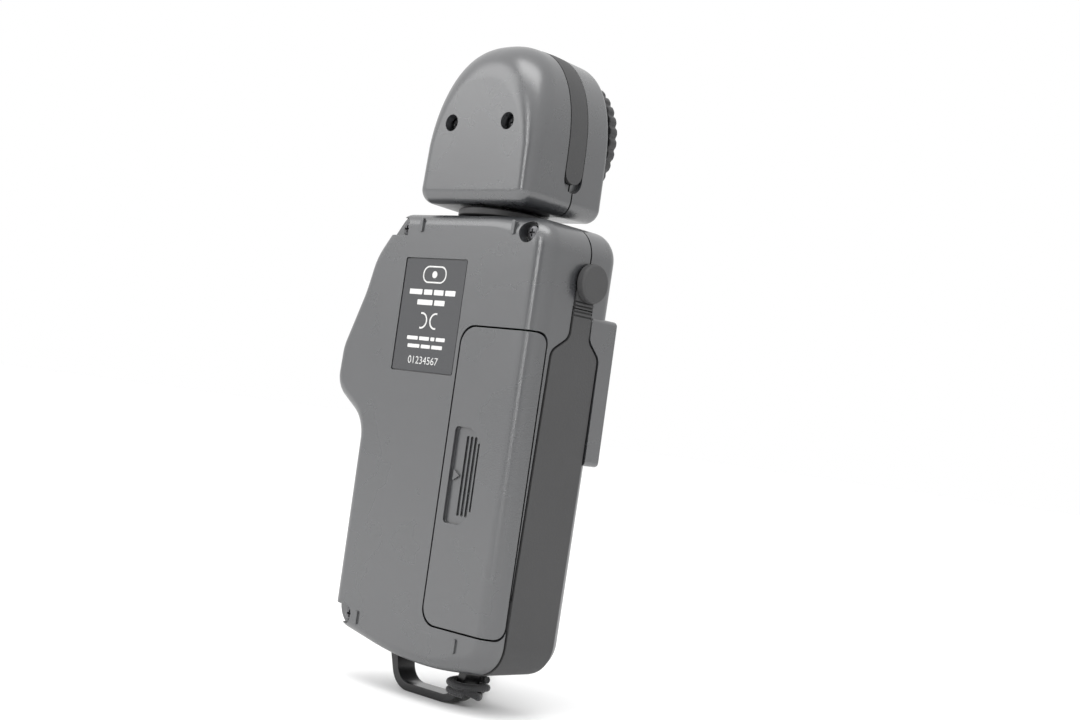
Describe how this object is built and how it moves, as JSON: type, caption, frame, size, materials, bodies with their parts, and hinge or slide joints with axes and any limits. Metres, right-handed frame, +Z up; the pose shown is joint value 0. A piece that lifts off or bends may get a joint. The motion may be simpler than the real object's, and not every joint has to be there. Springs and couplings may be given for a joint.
{
  "type": "handheld light meter",
  "caption": "Handheld flash and ambient light meter with a swivelling receptor head, removable battery door, sync terminal cap, display, keys and a strap bar with wrist cord.",
  "frame": {"origin": "on the head swivel axis, at the flat underside of the strap bar", "axes": "+Z up along the case towards the head, -Y out of the display side, +Y out of the back, +X towards the thumb bulge"},
  "size_m": [0.0837, 0.0854, 0.1646],
  "materials": {
    "case_plastic": "fine satin grain, charcoal grey",
    "grip_rubber": "matt, finely textured",
    "dark_plastic": "satin, near black",
    "bar_plastic": "semi-gloss black",
    "label_foil": "printed plate, satin",
    "key_plastic": "satin, mid grey",
    "measure_key_plastic": "satin, slate blue",
    "window_acrylic": "clear, polished",
    "lcd_glass": "grey-green display glass",
    "opal_plastic": "translucent opal white",
    "filter_glass": "blue-green colour filter",
    "circuit_board": "green solder mask",
    "silicone": "matt moulded silicone",
    "black_plastic": "moulded black",
    "cell_jacket": "printed metal jacket",
    "cord_nylon": "braided black nylon",
    "lead_sheath": "smooth sheath",
    "screw_steel": "blackened steel",
    "spring_steel": "plated spring steel",
    "socket_metal": "nickel plated"
  },
  "bodies": {
    "case": {"back_cover": "case_plastic", "front_cover": "case_plastic", "rating_label": "label_foil", "display_window": "window_acrylic", "lcd_module": "lcd_glass", "key_mat": "silicone", "main_board": "circuit_board", "measure_switch": "black_plastic", "processor_chip": "black_plastic", "battery_tray": "black_plastic", "battery_cell": "cell_jacket", "battery_spring": "spring_steel", "battery_contact": "spring_steel", "side_grip": "grip_rubber", "sync_socket": "socket_metal", "sync_insulator": "black_plastic", "sync_pin": "socket_metal", "neck_retaining_ring": "spring_steel", "case_screw_top_outer": "screw_steel", "case_screw_top_grip": "screw_steel", "case_screw_bottom_outer": "screw_steel", "strap_bar": "bar_plastic", "cord_knot": "cord_nylon", "cord_strand_out": "cord_nylon", "cord_strand_back": "cord_nylon", "cord_hank": "cord_nylon"},
    "head": {"swivel_neck": "dark_plastic", "head_clamp_ring": "dark_plastic", "sensor_lead": "lead_sheath", "head_back_shell": "case_plastic", "head_front_shell": "case_plastic", "head_band": "grip_rubber", "colour_filter": "filter_glass", "light_cell": "socket_metal", "head_board": "circuit_board", "head_screw_left": "screw_steel", "head_screw_right": "screw_steel"},
    "diffuser": {"diffuser_ring": "dark_plastic", "diffuser_dome": "opal_plastic"},
    "battery_door": {"battery_door": "case_plastic"},
    "sync_cap": {"sync_cap": "grip_rubber"},
    "power_button": {"power_button": "key_plastic"},
    "mode_button": {"mode_button": "key_plastic"},
    "iso_button": {"iso_button": "key_plastic"},
    "up_button": {"up_button": "key_plastic"},
    "down_button": {"down_button": "key_plastic"},
    "memory_button": {"memory_button": "key_plastic"},
    "clear_button": {"clear_button": "key_plastic"},
    "measure_button": {"measure_button": "measure_key_plastic"}
  },
  "joints": [
    {"name": "head_swivel", "type": "hinge", "parent": "case", "child": "head", "pos_m": [0, 0, 0.12], "axis": [0, 0, 1], "range_deg": [-90, 180]},
    {"name": "diffuser_turn", "type": "hinge", "parent": "head", "child": "diffuser", "pos_m": [0, -0.017, 0.1442], "axis": [0, 1, 0], "range_deg": [0, 30]},
    {"name": "battery_door_slide", "type": "slide", "parent": "case", "child": "battery_door", "axis": [-1, 0, 0], "range_m": [0, 0.032]},
    {"name": "sync_cap_flap", "type": "hinge", "parent": "case", "child": "sync_cap", "pos_m": [-0.029, -0.0031, 0.09955], "axis": [0, -1, 0], "range_deg": [0, 110], "stiffness_Nm_per_rad": 0.001},
    {"name": "power_button_press", "type": "slide", "parent": "case", "child": "power_button", "axis": [0, 1, 0], "range_m": [0, 0.0006], "stiffness_N_per_m": 400},
    {"name": "mode_button_press", "type": "slide", "parent": "case", "child": "mode_button", "axis": [0, 1, 0], "range_m": [0, 0.0006], "stiffness_N_per_m": 400},
    {"name": "iso_button_press", "type": "slide", "parent": "case", "child": "iso_button", "axis": [0, 1, 0], "range_m": [0, 0.0006], "stiffness_N_per_m": 400},
    {"name": "up_button_press", "type": "slide", "parent": "case", "child": "up_button", "axis": [0, 1, 0], "range_m": [0, 0.0006], "stiffness_N_per_m": 400},
    {"name": "down_button_press", "type": "slide", "parent": "case", "child": "down_button", "axis": [0, 1, 0], "range_m": [0, 0.0006], "stiffness_N_per_m": 400},
    {"name": "memory_button_press", "type": "slide", "parent": "case", "child": "memory_button", "axis": [0, 1, 0], "range_m": [0, 0.0006], "stiffness_N_per_m": 400},
    {"name": "clear_button_press", "type": "slide", "parent": "case", "child": "clear_button", "axis": [0, 1, 0], "range_m": [0, 0.0006], "stiffness_N_per_m": 400},
    {"name": "measure_button_press", "type": "slide", "parent": "case", "child": "measure_button", "axis": [0, 1, 0], "range_m": [0, 0.0006], "stiffness_N_per_m": 400}
  ]
}
